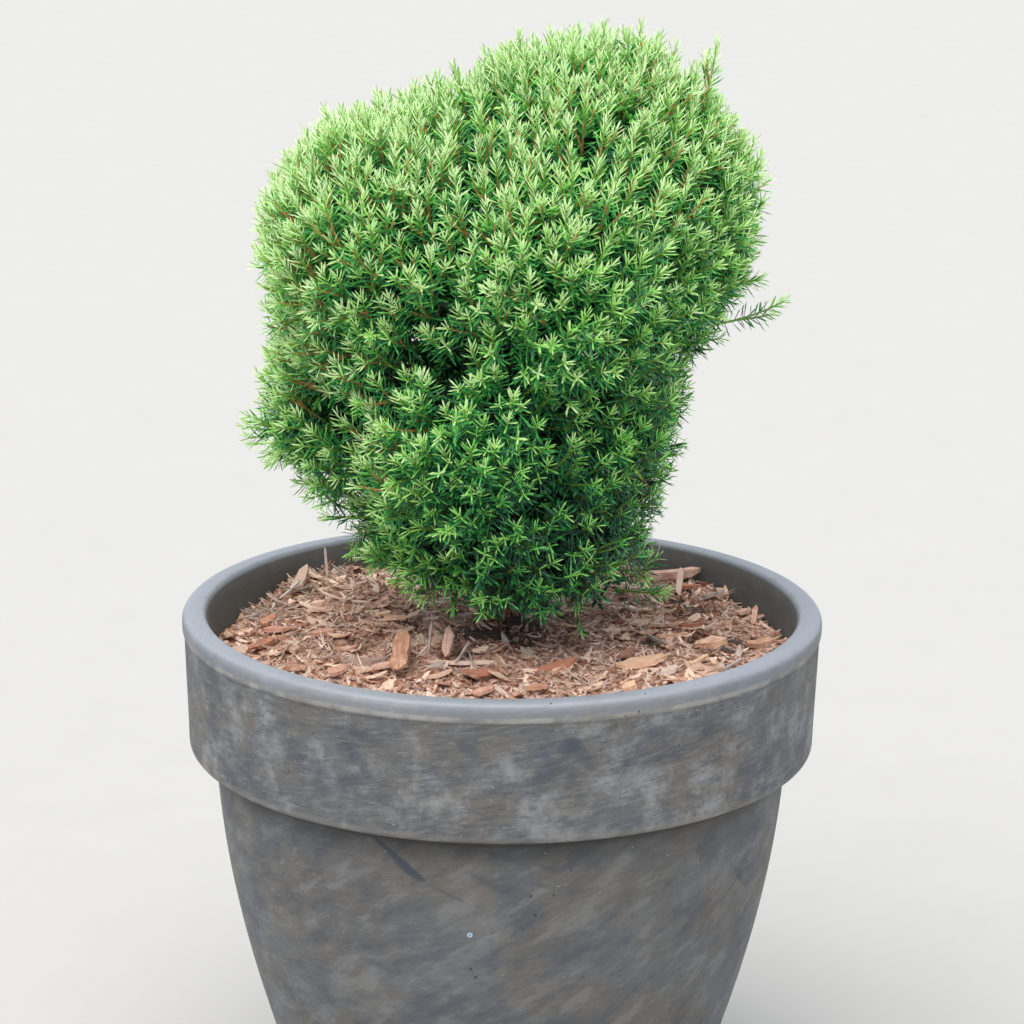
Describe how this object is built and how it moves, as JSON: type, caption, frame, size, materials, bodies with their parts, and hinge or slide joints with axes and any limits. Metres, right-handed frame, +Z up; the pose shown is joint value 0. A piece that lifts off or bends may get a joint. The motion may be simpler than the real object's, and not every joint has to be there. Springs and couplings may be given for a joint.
{
  "type": "potted dwarf conifer shrub",
  "caption": "Dense, round, needle-leaved evergreen shrub growing in a dark clay pot with a deep collar, with bark mulch round its foot.",
  "frame": {"origin": "centre of the pot's flat underside", "axes": "+Z up along the pot's axis; the picture looks along +Y, with +X to the right"},
  "size_m": [0.3, 0.3, 0.5494],
  "materials": {
    "clay": "matt, with a thin washed-on slip, and smoother on the rim",
    "soil": "damp and crumbly",
    "bark_mulch": "rough, fibrous",
    "stem_bark": "fibrous bark",
    "foliage_skirt": "waxy needles",
    "foliage_waist": "waxy needles",
    "foliage_shoulder": "waxy needles",
    "foliage_top": "waxy needles"
  },
  "bodies": {
    "root": {"pot": "clay", "potting_soil": "soil", "bark_mulch": "bark_mulch", "trunk": "stem_bark", "bough_waist_back_right": "stem_bark", "bough_waist_back": "stem_bark", "bough_waist_left": "stem_bark", "bough_waist_front": "stem_bark", "bough_waist_front_right": "stem_bark", "bough_shoulder_right": "stem_bark", "bough_shoulder_back_right": "stem_bark", "bough_shoulder_back_left": "stem_bark", "bough_shoulder_front_left": "stem_bark", "bough_shoulder_front_right": "stem_bark", "foliage_skirt_right": "foliage_skirt", "foliage_skirt_back_right": "foliage_skirt", "foliage_skirt_back_left": "foliage_skirt", "foliage_skirt_front_left": "foliage_skirt", "foliage_skirt_front_right": "foliage_skirt", "foliage_waist_back_right": "foliage_waist", "foliage_waist_back": "foliage_waist", "foliage_waist_left": "foliage_waist", "foliage_waist_front": "foliage_waist", "foliage_waist_front_right": "foliage_waist", "foliage_shoulder_right": "foliage_shoulder", "foliage_shoulder_back_right": "foliage_shoulder", "foliage_shoulder_back_left": "foliage_shoulder", "foliage_shoulder_front_left": "foliage_shoulder", "foliage_shoulder_front_right": "foliage_shoulder", "foliage_top": "foliage_top"}
  },
  "joints": []
}
